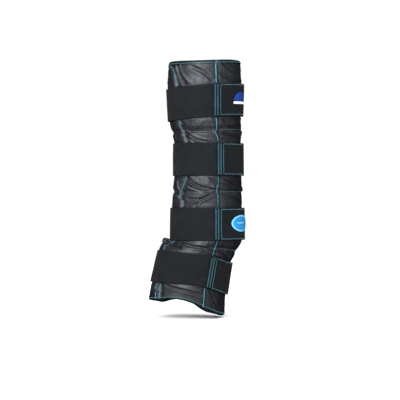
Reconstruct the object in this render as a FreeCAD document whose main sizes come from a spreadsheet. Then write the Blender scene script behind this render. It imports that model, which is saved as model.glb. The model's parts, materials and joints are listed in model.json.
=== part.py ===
"""Cold compression leg wrap, closed round the leg, in millimetres.

+Z runs up the leg and the origin is on the leg's axis. The wrap's axis is straight above the
bend and leans towards -X below it. Each piece is a curved panel: an arc-shaped section, drawn
at two or more stations along the axis, with a ruled loft through them. Angles round the axis are
measured from the front, which is -Y, and grow towards +X.
"""
import FreeCAD
import Part
import Sketcher
import math
import os

# Every driving dimension: alias, value in millimetres or degrees.
SIZES = [
    # layers, measured outwards from the face of the outer cover
    ("flush", 0), ("cover_inside", -1.5), ("edge_outside", -2.0), ("patch_inside", 0.9),
    ("patch_outside", 1.7), ("hook_inside", 2.0), ("hook_outside", 3.0), ("tab_outside", 5.0),
    ("elastic_outside", 2.9), ("badge_inside", 5.5), ("badge_outside", 6.7),
    # the lining and the gel packs, measured from the leg's axis
    ("lining_radius", 52), ("hem_lining_radius", 54), ("lining_thickness", 1.5),
    ("edge_inside", 54), ("hem_edge_inside", 56), ("ring_inside", 56.5),
    ("pack_inside", 56), ("pack_outside", 68), ("low_pack_outside", 75),
    # the front opening and the fold at the back
    ("front_upper", 19), ("front_lower", 26), ("back_upper", 198), ("back_bend", 181.5),
    ("back_hem", 165), ("half_gap", 0.3), ("edge_near", 0.6), ("edge_far", 1.8),
    ("quarter_turn", 90), ("full_turn", 360),
    # angles where the straps and tabs start and stop
    ("edge_one", 12.5), ("edge_two", 14.5), ("edge_three", 11), ("edge_four", 24),
    ("elastic_start", -122), ("strip_width", 8.5), ("tab_near", 9.0), ("tab_end", 110),
    ("patch_near", 14), ("patch_end", 107), ("hook_near", 16), ("hook_end", 105),
    ("dome_start", 44), ("dome_end", 76), ("oval_start", 38), ("oval_end", 88),
    # columns of gel packs, three to a half
    ("column_margin", 2.5), ("column_front", 71), ("column_side", 54), ("low_column_front", 56),
    ("low_column_side", 44),
]
# Places on the axis: name, distance to +X, height, lean towards +X, radius of the outer cover.
PLACES = [
    ("top_rim", -4, 205.2, 0, 79), ("top", -4, 203, 0, 79), ("badge_top", -4, 130, 0, 81.9),
    ("badge_low", -4, 101, 0, 80.7), ("one_high", -4, 148, -4, 82.5), ("one_low", -3, 78, -4, 79.5),
    ("two_high", 3, 24, 0, 74), ("two_low", 3, -47, 0, 74.5), ("three_high", 1, -117, 0, 78),
    ("oval_top", 1, -132, 0, 78.5), ("oval_low", 1, -169, 0, 79), ("three_low", 1, -187, 0, 79),
    ("bend", -25.5, -222, 11.5, 80), ("four_low", -39.05, -291.6, 11.5, 83),
    ("hem", -48, -337.6, 11.5, 85), ("hem_rim", -48.4, -339.8, 11.5, 85.1),
    ("leg_top", 0, 203, 0, 79), ("edge_top", 0, 200, 0, 79), ("leg_bend", 0, -188, 0, 79),
    ("row_one_top", 0, 194, 0, 79), ("row_one_low", 0, 52, 0, 77), ("row_two_top", 0, 38, 0, 77),
    ("row_two_low", 0, -73, 0, 77), ("row_three_top", 0, -87, 0, 78),
    ("row_three_low", 0, -178, 0, 79), ("row_four_top", -27.8, -233.8, 11.5, 80),
    ("row_four_low", -45.7, -325.8, 11.5, 84.5),
]
ROWS = [("row_one_top", "row_one_low"), ("row_two_top", "row_two_low"),
        ("row_three_top", "row_three_low"), ("row_four_top", "row_four_low")]
STRAPS = [("edge_one", "one_high", "one_low"), ("edge_two", "two_high", "two_low"),
          ("edge_three", "three_high", "three_low"), ("edge_four", "bend", "four_low")]
COVER = ["top", "one_high", "one_low", "two_high", "two_low", "three_high", "three_low",
         "bend", "hem"]
BELOW_BEND = ("bend", "four_low", "hem", "hem_rim", "row_four_top", "row_four_low")

doc = FreeCAD.newDocument("leg_wrap")
sheet = doc.addObject("Spreadsheet::Sheet", "dims")
nodes = []


def fill_sheet():
    """Put every driving dimension in the spreadsheet, one aliased cell each."""
    cells = list(SIZES)
    for name, side, height, lean, radius in PLACES:
        cells += [(name + "_side", side), (name + "_height", height)]
        cells += [(name + "_lean", lean), (name + "_radius", radius)]
    for row, (alias, value) in enumerate(cells, start=1):
        sheet.set("A%d" % row, alias)
        sheet.set("B%d" % row, str(value))
        sheet.setAlias("B%d" % row, alias)
    doc.recompute()


class Size:
    """A sum of cells, each with a sign, as a number and as an expression."""

    def __init__(self, *cells):
        self.cells = cells

    def number(self):
        """The sum, as a number."""
        total = 0.0
        for cell in self.cells:
            sign = -1 if cell.startswith("-") else 1
            total += sign * getattr(sheet, cell.lstrip("-"))
        return total

    def expression(self):
        """The sum, as the text of an expression."""
        text = ""
        for cell in self.cells:
            text += " - dims." if cell.startswith("-") else " + dims."
            text += cell.lstrip("-")
        return text.strip(" +") if not text.startswith(" -") else "0" + text


def front(place):
    """The opening edge's angle at a place."""
    return "front_lower" if place in BELOW_BEND else "front_upper"


def back(place):
    """The fold's angle at a place."""
    if place in ("hem", "hem_rim", "row_four_low", "four_low"):
        return "back_hem"
    return "back_bend" if place in BELOW_BEND else "back_upper"


def section(body, place, inner, outer, start, stop):
    """An arc-shaped section in the plane of one place, all of it bound to the sheet."""
    sketch = body.newObject("Sketcher::SketchObject", body.Name + "_" + place)
    plane = [item for item in body.Origin.OriginFeatures if item.Role == "XY_Plane"][0]
    sketch.AttachmentSupport = [(plane, "")]
    sketch.MapMode = "FlatFace"
    side, height, lean = [Size(place + key) for key in ("_side", "_height", "_lean")]
    # a turn of no angle has no axis, so an upright section starts a degree over and the
    # expression for the lean then sets it back
    sketch.AttachmentOffset = FreeCAD.Placement(
        FreeCAD.Vector(side.number(), 0, height.number()),
        FreeCAD.Rotation(FreeCAD.Vector(0, 1, 0), lean.number() or 1))
    sketch.setExpression(".AttachmentOffset.Base.x", side.expression())
    sketch.setExpression(".AttachmentOffset.Base.z", height.expression())
    sketch.setExpression(".AttachmentOffset.Rotation.Angle", lean.expression())
    first, last = math.radians(start.number()), math.radians(stop.number())
    up, middle = FreeCAD.Vector(0, 0, 1), FreeCAD.Vector(0, 0, 0)

    def point(radius, angle):
        return FreeCAD.Vector(radius * math.cos(angle), radius * math.sin(angle), 0)

    near, far = inner.number(), outer.number()
    sketch.addGeometry([
        Part.ArcOfCircle(Part.Circle(middle, up, far), first, last),
        Part.LineSegment(point(near, last), point(far, last)),
        Part.ArcOfCircle(Part.Circle(middle, up, near), first, last),
        Part.LineSegment(point(near, first), point(far, first))], False)
    sketch.addConstraint([
        Sketcher.Constraint("Coincident", 0, 3, -1, 1),
        Sketcher.Constraint("Coincident", 2, 3, -1, 1),
        Sketcher.Constraint("Coincident", 0, 1, 3, 2),
        Sketcher.Constraint("Coincident", 0, 2, 1, 2),
        Sketcher.Constraint("Coincident", 2, 1, 3, 1),
        Sketcher.Constraint("Coincident", 2, 2, 1, 1),
        Sketcher.Constraint("PointOnObject", -1, 1, 1),
        Sketcher.Constraint("PointOnObject", -1, 1, 3)])
    for kind, edge, size in (("Radius", 0, outer), ("Radius", 2, inner),
                             ("Angle", 3, start), ("Angle", 1, stop)):
        number = size.number() if kind == "Radius" else math.radians(size.number())
        index = sketch.addConstraint(Sketcher.Constraint(kind, edge, number))
        sketch.setExpression("Constraints[%d]" % index, size.expression())
    return sketch


def loft(body, sections):
    """A ruled loft through sections, added to a body."""
    feature = body.newObject("PartDesign::AdditiveLoft", body.Name + "_loft")
    feature.Profile = sections[0]
    feature.Sections = sections[1:]
    feature.Ruled = True
    body.Tip = feature


def new_body(name):
    """A body whose label names its file."""
    body = doc.addObject("PartDesign::Body", name)
    body.Label = name
    nodes.append(body)
    return body


def panel(name, places, inner, outer, start, stop):
    """A curved panel. inner, outer, start and stop are functions of a place."""
    body = new_body(name)
    loft(body, [section(body, place, Size(*inner(place)), Size(*outer(place)),
                        Size(*start(place), "-quarter_turn"), Size(*stop(place), "-quarter_turn"))
                for place in places])


def layer(cell):
    """A radius a set distance outside the outer cover's face."""
    return lambda place: (place + "_radius", cell)


def fixed(*cells):
    """The same size at every place."""
    return lambda place: cells


def span(half, *inset):
    """The two angles that a half's panel runs between, each drawn in by the inset."""
    outward = ["-" + cell for cell in inset]
    if half == "right":
        return (lambda place: (front(place), *inset),
                lambda place: (back(place), *outward))
    return (lambda place: (back(place), "-full_turn", *inset),
            lambda place: (front(place), *outward))


def make_lining(half):
    """The soft lining against the leg: a true cylinder above the bend, lofted below it."""
    body = new_body("lining_" + half)
    start, stop = span(half, "half_gap")

    def arc(place, *radius):
        return section(body, place, Size(*radius), Size(*radius, "lining_thickness"),
                       Size(*start(place), "-quarter_turn"), Size(*stop(place), "-quarter_turn"))

    pad = body.newObject("PartDesign::Pad", body.Name + "_pad")
    pad.Profile = arc("leg_bend", "lining_radius")
    pad.Length = Size("leg_top_height", "-leg_bend_height").number()
    pad.setExpression("Length", "dims.leg_top_height - dims.leg_bend_height")
    body.Tip = pad
    doc.recompute()
    loft(body, [arc("leg_bend", "lining_radius"), arc("bend", "lining_radius"),
                arc("hem", "hem_lining_radius")])


def make_packs(half):
    """Gel packs in pockets between the lining and the cover: three columns, four rows."""
    for row, places in enumerate(ROWS, start=1):
        low = row == len(ROWS)
        prefix = "low_" if low else ""
        outside = "low_pack_outside" if low else "pack_outside"
        steps = [(), (prefix + "column_front",),
                 (prefix + "column_front", prefix + "column_side"), None]
        for column in range(3):
            near, far = steps[column], steps[column + 1]
            if half == "right":
                start = fixed(front(places[0]), *near, "column_margin")
                stop = (fixed(front(places[0]), *far, "-column_margin") if far
                        else fixed(back(places[1]), "-column_margin"))
            else:
                stop = fixed(front(places[0]), *["-" + cell for cell in near], "-column_margin")
                start = (fixed(front(places[0]), *["-" + cell for cell in far], "column_margin")
                         if far else fixed(back(places[0]), "-full_turn", "column_margin"))
            panel("gel_pack_%s_row%d_col%d" % (half, row, column + 1), places,
                  fixed("pack_inside"), fixed(outside), start, stop)


def make_edge_binding(half):
    """The binding that closes the wall along one edge of the front opening."""
    def inner(place):
        return ("hem_edge_inside",) if place in BELOW_BEND else ("edge_inside",)

    def outer(place):
        if place in BELOW_BEND:
            return (place + "_radius", "edge_outside")
        return ("pack_outside",)

    if half == "right":
        near, far = ("edge_near",), ("edge_far",)
    else:
        near, far = ("-edge_far",), ("-edge_near",)
    panel("edge_binding_" + half, ["edge_top", "leg_bend", "bend", "hem"], inner, outer,
          lambda place: (front(place), *near), lambda place: (front(place), *far))


def make_half(half):
    """One half of the body: cover, lining, bindings and gel packs."""
    start, stop = span(half, "half_gap")
    panel("outer_cover_" + half, COVER, layer("cover_inside"), layer("flush"), start, stop)
    make_lining(half)
    panel("top_binding_" + half, ["top_rim", "top"], fixed("ring_inside"), layer("flush"),
          start, stop)
    panel("hem_binding_" + half, ["hem", "hem_rim"], fixed("hem_edge_inside"), layer("flush"),
          start, stop)
    make_edge_binding(half)
    make_packs(half)


def make_strap(number, edge, places):
    """One closure: elastic on the left half, junction strip, hook tab, hook pad, loop patch."""
    tag = "_%d" % number
    panel("elastic_strap" + tag, places, layer("patch_inside"), layer("elastic_outside"),
          fixed("elastic_start"), fixed(edge, "-half_gap"))
    panel("junction_strip" + tag, places, layer("hook_outside"), layer("tab_outside"),
          fixed(edge), fixed(edge, "strip_width"))
    panel("hook_tab" + tag, places, layer("hook_outside"), layer("tab_outside"),
          fixed(edge, "tab_near"), fixed("tab_end"))
    panel("hook_pad" + tag, places, layer("hook_inside"), layer("hook_outside"),
          fixed(edge, "hook_near"), fixed("hook_end"))
    panel("loop_patch" + tag, places, layer("patch_inside"), layer("patch_outside"),
          fixed(edge, "patch_near"), fixed("patch_end"))


fill_sheet()
make_half("right")
make_half("left")
for number, (edge, *places) in enumerate(STRAPS, start=1):
    make_strap(number, edge, places)
panel("dome_badge", ["badge_top", "badge_low"], layer("badge_inside"), layer("badge_outside"),
      fixed("dome_start"), fixed("dome_end"))
panel("oval_badge", ["oval_top", "oval_low"], layer("badge_inside"), layer("badge_outside"),
      fixed("oval_start"), fixed("oval_end"))
doc.recompute()

for item in doc.Objects:
    if any(word in item.State for word in ("Invalid", "Error")):
        raise RuntimeError("%s did not compute: %s" % (item.Label, item.State))
os.makedirs("parts", exist_ok=True)
for node in nodes:
    if node.Shape.isNull() or not node.Shape.isValid():
        raise RuntimeError(node.Label + " has no valid shape")
    node.Shape.exportStep("parts/%s.step" % node.Label)
print(len(nodes), "pieces written")
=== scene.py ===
"""Looks of the cold leg wrap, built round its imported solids. Metres, +Z up the leg, -Y the front.

Sizes below are in millimetres and angles in degrees. An angle is measured round the wrap's axis
from the front, and grows towards +X. A run is a distance down the axis from the top edge.
"""
import json
import logging
import math
import random
from dataclasses import dataclass
from enum import Enum
from typing import Callable, ClassVar, Iterable, Sequence

import bpy
from mathutils import Matrix, Vector, noise
from mathutils.bvhtree import BVHTree

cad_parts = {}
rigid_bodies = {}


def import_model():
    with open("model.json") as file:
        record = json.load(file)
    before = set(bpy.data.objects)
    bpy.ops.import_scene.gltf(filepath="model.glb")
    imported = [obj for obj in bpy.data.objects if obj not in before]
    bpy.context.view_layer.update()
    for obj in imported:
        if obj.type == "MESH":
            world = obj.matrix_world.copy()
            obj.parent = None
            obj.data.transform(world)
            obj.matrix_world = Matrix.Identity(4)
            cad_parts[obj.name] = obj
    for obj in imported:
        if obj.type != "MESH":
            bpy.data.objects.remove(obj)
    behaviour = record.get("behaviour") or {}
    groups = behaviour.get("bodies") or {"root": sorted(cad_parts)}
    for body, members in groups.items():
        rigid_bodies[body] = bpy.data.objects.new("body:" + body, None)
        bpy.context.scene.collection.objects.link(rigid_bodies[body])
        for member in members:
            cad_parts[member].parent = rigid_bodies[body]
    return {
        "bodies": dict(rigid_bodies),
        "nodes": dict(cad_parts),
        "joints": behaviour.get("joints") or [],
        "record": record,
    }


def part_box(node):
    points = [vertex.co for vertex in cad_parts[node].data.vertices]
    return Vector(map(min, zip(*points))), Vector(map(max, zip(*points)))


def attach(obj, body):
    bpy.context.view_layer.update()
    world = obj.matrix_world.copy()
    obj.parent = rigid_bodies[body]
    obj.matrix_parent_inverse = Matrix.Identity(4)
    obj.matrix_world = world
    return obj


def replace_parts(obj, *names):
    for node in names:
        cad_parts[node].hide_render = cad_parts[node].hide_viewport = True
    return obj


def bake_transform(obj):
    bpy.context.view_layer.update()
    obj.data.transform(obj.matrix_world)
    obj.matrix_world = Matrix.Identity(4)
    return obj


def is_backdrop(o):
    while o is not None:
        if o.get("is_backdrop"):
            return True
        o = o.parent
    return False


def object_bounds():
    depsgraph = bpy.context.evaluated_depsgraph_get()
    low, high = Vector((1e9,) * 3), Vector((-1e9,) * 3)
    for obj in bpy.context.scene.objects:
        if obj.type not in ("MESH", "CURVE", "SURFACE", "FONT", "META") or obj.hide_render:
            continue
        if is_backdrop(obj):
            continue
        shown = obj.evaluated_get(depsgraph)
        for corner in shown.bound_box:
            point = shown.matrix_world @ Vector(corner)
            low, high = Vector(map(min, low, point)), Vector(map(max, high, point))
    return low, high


log = logging.getLogger("leg_wrap")
MM = 0.001
DEGREE = math.pi / 180
WAVE = 314.16  # the period in millimetres of a wave texture at a scale of 1
Mesh = bpy.types.Object
Node = bpy.types.ShaderNode
Tree = bpy.types.NodeTree
Socket = bpy.types.NodeSocket
Stitch = tuple[Vector, Vector, Vector]  # its middle, its direction and the way outwards
Lay = Callable[[float, float], Vector]  # a point in metres, for two numbers that place it
Track = Callable[[float], tuple[float, float]]  # the run and angle at a value along a line


# ---------------------------------------------------------------- small tools

def linear(colour: str) -> tuple[float, ...]:
    """Turns an sRGB hex colour to linear red, green and blue, with an alpha of one."""
    parts = [int(colour[i:i + 2], 16) / 255 for i in (1, 3, 5)]
    return (*[c / 12.92 if c <= 0.04045 else ((c + 0.055) / 1.055) ** 2.4 for c in parts], 1.0)


def smooth_step(value: float) -> float:
    """Eases a value from 0 to 1, held at both ends."""
    held = min(max(value, 0.0), 1.0)
    return held * held * (3 - 2 * held)


def bump(distance: float, width: float) -> float:
    """A soft bump: 1 at no distance, falling to 0 over a few widths."""
    return math.exp(-(distance / width) ** 2)


def ripple(phase: float) -> float:
    """A pointed wave from -1 to 1, with a period of 1."""
    return 1 - 2 * abs(2 * (phase % 1.0) - 1)


def stretch_at(marks: Sequence[float], value: float) -> tuple[int, float]:
    """Finds where a value lies among rising marks.

    Args:
        marks: the marks.
        value: the value, which may be past either end.

    Returns:
        The number of the mark before it, and its share of the way to the next.
    """
    index = 0
    while index < len(marks) - 2 and value > marks[index + 1]:
        index += 1
    return index, (value - marks[index]) / (marks[index + 1] - marks[index])


def set_up(thing: object, **values: object) -> None:
    """Sets several properties of one thing."""
    for key, value in values.items():
        setattr(thing, key, value)


def activate(piece: Mesh) -> None:
    """Selects one object alone and makes it active."""
    bpy.ops.object.select_all(action="DESELECT")
    piece.select_set(True)
    bpy.context.view_layer.objects.active = piece


def primitive(kind: str, **settings: object) -> Mesh:
    """Adds a mesh primitive to an empty selection, which the loaded solids fill at the start."""
    bpy.ops.object.select_all(action="DESELECT")
    getattr(bpy.ops.mesh, "primitive_%s_add" % kind)(**settings)
    return bpy.context.active_object


def mesh_object(name: str, points: Sequence[Vector], faces: Iterable[Sequence[int]]) -> Mesh:
    """Makes a linked object at the origin, selected and active, from points and faces."""
    mesh = bpy.data.meshes.new(name)
    mesh.from_pydata([tuple(p) for p in points], [], [tuple(f) for f in faces])
    mesh.update()
    piece = bpy.data.objects.new(name, mesh)
    bpy.context.scene.collection.objects.link(piece)
    activate(piece)
    return piece


def apply_modifier(piece: Mesh, kind: str, **settings: object) -> None:
    """Adds a modifier to a piece, sets it up and applies it.

    Args:
        piece: the object.
        kind: the modifier's type.
        settings: its properties.
    """
    activate(piece)
    modifier = piece.modifiers.new(kind.lower(), kind)
    set_up(modifier, **settings)
    bpy.ops.object.modifier_apply(modifier=modifier.name)


def round_edges(piece: Mesh, width: float) -> None:
    """Rounds a piece's sharp edges, by a width in millimetres."""
    apply_modifier(piece, "BEVEL", width=width * MM, segments=2, limit_method="ANGLE",
                   angle_limit=50 * DEGREE)


def smooth_shade(piece: Mesh, angle: float = 40) -> None:
    """Shades a piece smooth, with edges sharper than an angle left crisp."""
    activate(piece)
    bpy.ops.object.shade_smooth_by_angle(angle=math.radians(angle))


# ---------------------------------------------------------------- the wrap's shape

@dataclass(frozen=True)
class Place:
    """One section across the wrap's axis: where it is, its radius and where the halves part."""

    side: float
    height: float
    lean: float
    radius: float
    front: float = 19.0
    back: float = 198.0

    def towards(self, other: "Place", share: float) -> "Place":
        """Returns the section a share of the way to another one."""
        pairs = zip(self.values(), other.values())
        return Place(*[a + (b - a) * share for a, b in pairs])

    def values(self) -> tuple[float, ...]:
        """Returns every size of the section, in order."""
        return (self.side, self.height, self.lean, self.radius, self.front, self.back)

    def point(self, angle: float, radius: float) -> Vector:
        """Returns the point at an angle and radius in this section, in metres."""
        turn, lean = math.radians(angle), math.radians(self.lean)
        across, depth = radius * math.sin(turn), -radius * math.cos(turn)
        return Vector((self.side + across * math.cos(lean), depth,
                       self.height - across * math.sin(lean))) * MM

    def outward(self, angle: float) -> Vector:
        """Returns the direction away from the axis at an angle."""
        return (self.point(angle, 2.0) - self.point(angle, 1.0)).normalized()


class WrapShape:
    """A tube through a list of sections, from the top down: a point for any run and angle."""

    def __init__(self, *places: Place) -> None:
        """Measures the run of each section."""
        self.places = places
        self.drops = [-place.height for place in places]
        self.runs = [0.0]
        for upper, lower in zip(places, places[1:]):
            step = math.hypot(lower.side - upper.side, lower.height - upper.height)
            self.runs.append(self.runs[-1] + step)

    @property
    def length(self) -> float:
        """The whole run, from the top edge to the hem."""
        return self.runs[-1]

    def section(self, run: float) -> Place:
        """Returns the section at a run, past either end in line with it."""
        index, share = stretch_at(self.runs, run)
        return self.places[index].towards(self.places[index + 1], share)

    def point(self, run: float, angle: float, out: float = 0.0) -> Vector:
        """Returns the point a distance outside the tube, in metres."""
        here = self.section(run)
        return here.point(angle, here.radius + out)

    def run_at(self, height: float) -> float:
        """Returns the run whose section stands at a height on the axis."""
        index, share = stretch_at(self.drops, -height)
        return self.runs[index] + (self.runs[index + 1] - self.runs[index]) * share

    def locate(self, point: Vector) -> tuple[float, float, float]:
        """Returns the run, angle and radius of a point given in metres."""
        x, y, z = point / MM
        run = self.run_at(z)
        for _ in range(3):
            here = self.section(run)
            run = self.run_at(z + (x - here.side) * math.tan(math.radians(here.lean)))
        here = self.section(run)
        across = (x - here.side) / math.cos(math.radians(here.lean))
        return run, math.degrees(math.atan2(across, -y)), math.hypot(across, y)


OUTSIDE = WrapShape(
    Place(-4, 203, -1, 79), Place(-4, 148, -4, 82.5), Place(-3, 78, -4, 79.5),
    Place(3, 24, 0, 74), Place(3, -47, 0, 74.5), Place(1, -117, 0, 78), Place(1, -187, 0, 79),
    Place(-25.5, -222, 11.5, 80, 26, 181.5), Place(-39.05, -291.6, 11.5, 83, 26.5, 171.5),
    Place(-44.5, -337.6, 11.5, 86, 27, 165))
INSIDE = WrapShape(Place(0, 203, 0, 52), Place(0, -188, 0, 52),
                   Place(-25.5, -222, 11.5, 52, 26, 181.5), Place(-47, -337.6, 11.5, 54, 26, 165))
BANDS = [(OUTSIDE.runs[i], OUTSIDE.runs[i + 1]) for i in (1, 3, 5, 7)]
HEM_START = BANDS[3][1]
# how far cloth is drawn up at the front, and at what angle most, from the third strap down
DRAWN_RUNS = (BANDS[2][1], BANDS[3][0], HEM_START, OUTSIDE.length)
DRAWN = ((0.0, 16.0), (9.0, 16.0), (11.0, 13.0), (21.0, -8.0))


def drawn_up(run: float, angle: float) -> float:
    """Works out where cloth laid at a run comes to lie, drawn up at the front below the bend.

    Args:
        run: distance down the axis, before it is drawn up.
        angle: degrees round it.

    Returns:
        The run where it lies.
    """
    if run <= DRAWN_RUNS[0]:
        return run + 3.5 * bump(angle + 8, 48) * smooth_step(1 - run / 40)
    index, share = stretch_at(DRAWN_RUNS, run)
    lift, middle = [a + (b - a) * share for a, b in zip(DRAWN[index], DRAWN[index + 1])]
    hem = smooth_step((run - HEM_START) / (OUTSIDE.length - HEM_START))
    back = 17 * hem * bump(abs(abs(angle) - 180), 62)
    drop = (4.5 * (1 - hem) * bump(angle + 95, 35)
            * smooth_step((run - DRAWN_RUNS[index]) / 30 + index))
    return run - lift * bump(angle - middle, 46) - back + drop


def laid_run(run: float, angle: float) -> float:
    """Returns the run, before it is drawn up, of cloth that lies at a run."""
    laid = run
    for _ in range(4):
        laid += run - drawn_up(laid, angle)
    return laid


def cloth_point(run: float, angle: float, out: float = 0.0) -> Vector:
    """Returns the point a distance outside cloth laid at a run and angle, in metres."""
    return OUTSIDE.point(drawn_up(run, angle), angle, out)


def lining_point(run: float, angle: float, out: float) -> Vector:
    """Returns the point a distance outside lining laid at a run, drawn up with the cover."""
    lost = INSIDE.length - OUTSIDE.length
    lifted = drawn_up(run - lost, angle) + lost if run > 300 else run
    return INSIDE.point(lifted, angle, out)


def lining_beside(run: float, angle: float, out: float) -> Vector:
    """Returns the point a distance outside the lining, level with a run of the cover."""
    return INSIDE.point(INSIDE.run_at(OUTSIDE.section(run).height), angle, out)


def under_strap(run: float, margin: float) -> float:
    """Returns 1 under a strap, easing to 0 at a margin past its edges."""
    return max(smooth_step((run - low + margin) / (margin + 1))
               * smooth_step((high + margin - run) / (margin + 1)) for low, high in BANDS)


class Half(Enum):
    """The two halves of the wrap, either side of the opening and the back fold."""

    RIGHT = "right"
    LEFT = "left"

    @property
    def body(self) -> str:
        """The CAD body that this half rides on."""
        return self.value + "_half"

    def angles(self, here: Place, gap: float = 0.12) -> tuple[float, float]:
        """Returns the angles this half runs between in a section."""
        if self is Half.RIGHT:
            return here.front + gap, here.back - gap
        return here.back - 360 + gap, here.front - gap


# ---------------------------------------------------------------- finishes

@dataclass(frozen=True)
class Finish:
    """A material made of shader nodes. Each kind of surface adds its own pattern and gloss."""

    name: str
    slot: str
    colour: str
    shade: str
    roughness: float
    specular: float = 0.5
    gloss: ClassVar[dict[str, object]] = {}

    def add(self, tree: Tree, kind: str, settings: dict | None = None,
            links: dict | None = None) -> Node:
        """Adds a node with its settings and links.

        Args:
            tree: the material's node tree.
            kind: the node's type.
            settings: values for its sockets, or its properties.
            links: input socket to output socket.

        Returns:
            The new node.
        """
        node = tree.nodes.new(kind)
        for key, value in (settings or {}).items():
            if key in node.inputs.keys():
                node.inputs[key].default_value = value
            else:
                setattr(node, key, value)
        for key, output in (links or {}).items():
            tree.links.new(output, node.inputs[key])
        return node

    def build(self) -> bpy.types.Material:
        """Builds the material: a mottled colour and roughness, and the surface's own relief."""
        material = bpy.data.materials.new(self.name)
        material.use_nodes = True
        tree = material.node_tree
        tree.nodes.clear()
        place = self.add(tree, "ShaderNodeTexCoord").outputs["Object"]
        # patches of wear about 22 mm across
        mottle = self.add(tree, "ShaderNodeTexNoise",
                          {"Scale": 45.0, "Detail": 5.0, "Roughness": 0.6}, {"Vector": place})
        ramp = self.add(tree, "ShaderNodeMapRange",
                        {"From Min": 0.32, "From Max": 0.68, "To Min": 0.0, "To Max": 1.0},
                        {"Value": mottle.outputs["Fac"]})
        colour = self.add(tree, "ShaderNodeMix", {"data_type": "RGBA"})
        # sockets 6 and 7 are the two colours of a mix
        colour.inputs[6].default_value = linear(self.shade)
        colour.inputs[7].default_value = linear(self.colour)
        tree.links.new(ramp.outputs[0], colour.inputs[0])
        rough = self.add(tree, "ShaderNodeMapRange",
                         {"From Min": 0.3, "From Max": 0.7, "To Min": self.roughness - 0.06,
                          "To Max": self.roughness + 0.06}, {"Value": mottle.outputs["Fac"]})
        shader = self.add(tree, "ShaderNodeBsdfPrincipled",
                          {"Specular IOR Level": self.specular, **self.gloss},
                          {"Base Color": colour.outputs[2], "Roughness": rough.outputs[0],
                           "Normal": self.relief(tree, place)})
        self.add(tree, "ShaderNodeOutputMaterial", links={"Surface": shader.outputs[0]})
        return material

    def relief(self, tree: Tree, place: Socket) -> Socket:
        """Returns the normal of a fine even grain."""
        return self.grain(tree, place, 2.0, 0.25, 0.3)

    def raised(self, tree: Tree, height: Socket, strength: float, depth: float,
               below: Socket | None) -> Socket:
        """Returns the normal of a height, with a depth in millimetres, on a normal below it."""
        links = {"Height": height} if below is None else {"Height": height, "Normal": below}
        return self.add(tree, "ShaderNodeBump", {"Strength": strength, "Distance": depth * MM},
                        links).outputs[0]

    def grain(self, tree: Tree, place: Socket, size: float, depth: float, strength: float,
              below: Socket | None = None) -> Socket:
        """Returns the normal of noise of a size and depth in millimetres."""
        texture = self.add(tree, "ShaderNodeTexNoise",
                           {"Scale": 1000 / size, "Detail": 4.0}, {"Vector": place})
        return self.raised(tree, texture.outputs["Fac"], strength, depth, below)

    def ribs(self, tree: Tree, place: Socket, pitch: float, depth: float, direction: str,
             below: Socket | None = None) -> Socket:
        """Returns the normal of parallel ribs of a pitch and depth in millimetres."""
        wave = self.add(tree, "ShaderNodeTexWave",
                        {"bands_direction": direction, "Scale": WAVE / pitch,
                         "Distortion": 0.6, "Detail": 1.0}, {"Vector": place})
        return self.raised(tree, wave.outputs["Fac"], 0.5, depth, below)


@dataclass(frozen=True)
class CoatedNylon(Finish):
    """Nylon with a polyurethane coating: a satin face, fine weave and small crinkles."""

    # the coating's own thin, soft, slightly cool gloss
    gloss = {"Specular Tint": (0.93, 0.95, 1.0, 1.0), "Coat Weight": 0.05, "Coat Roughness": 0.45}

    def relief(self, tree: Tree, place: Socket) -> Socket:
        """Returns crinkles, with the weave over them drawn at 1.3 mm so that it shows."""
        crinkle = self.grain(tree, place, 14.0, 0.6, 0.35)
        weave = self.ribs(tree, place, 1.3, 0.05, "Z", crinkle)
        return self.ribs(tree, place, 1.3, 0.05, "X", weave)


@dataclass(frozen=True)
class RibbedElastic(Finish):
    """Woven elastic: ribs along its length, drawn at 3.4 mm so that they show, and fuzz."""

    gloss = {"Sheen Weight": 0.02, "Sheen Roughness": 0.5}

    def relief(self, tree: Tree, place: Socket) -> Socket:
        """Returns ribs with a fuzz over them."""
        return self.grain(tree, place, 0.9, 0.2, 0.35, self.ribs(tree, place, 3.4, 0.8, "Z"))


@dataclass(frozen=True)
class NappedCloth(Finish):
    """Brushed cloth, such as loop tape and lining: a short nap and no gloss."""

    nap: float = 1.4
    gloss = {"Sheen Weight": 0.02, "Sheen Roughness": 0.6}

    def relief(self, tree: Tree, place: Socket) -> Socket:
        """Returns a nap over a soft unevenness."""
        return self.grain(tree, place, self.nap, 0.6, 0.7, self.grain(tree, place, 12, 1.0, 0.3))


@dataclass(frozen=True)
class WovenTape(Finish):
    """Woven tape: fine ribs, one way and the other."""

    def relief(self, tree: Tree, place: Socket) -> Socket:
        """Returns the weave's ribs."""
        return self.ribs(tree, place, 1.0, 0.12, "X", self.ribs(tree, place, 1.0, 0.12, "Z"))


@dataclass(frozen=True)
class TwistedThread(Finish):
    """Polyester sewing thread: a twisted yarn with a sheen."""

    gloss = {"Sheen Weight": 0.3}


@dataclass(frozen=True)
class MouldedBadge(Finish):
    """Soft moulded PVC: smooth and glossy, with a faint orange peel."""

    gloss = {"Coat Weight": 0.35, "Coat Roughness": 0.2}

    def relief(self, tree: Tree, place: Socket) -> Socket:
        """Returns the mould's faint orange peel."""
        return self.grain(tree, place, 3.0, 0.1, 0.25)


@dataclass(frozen=True)
class GelFilm(Finish):
    """Blue gel in clear film: wet-looking, wrinkled and slightly see-through."""

    gloss = {"Transmission Weight": 0.25, "Coat Weight": 0.4}

    def relief(self, tree: Tree, place: Socket) -> Socket:
        """Returns the film's soft wrinkles."""
        return self.grain(tree, place, 9.0, 1.0, 0.5)


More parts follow.
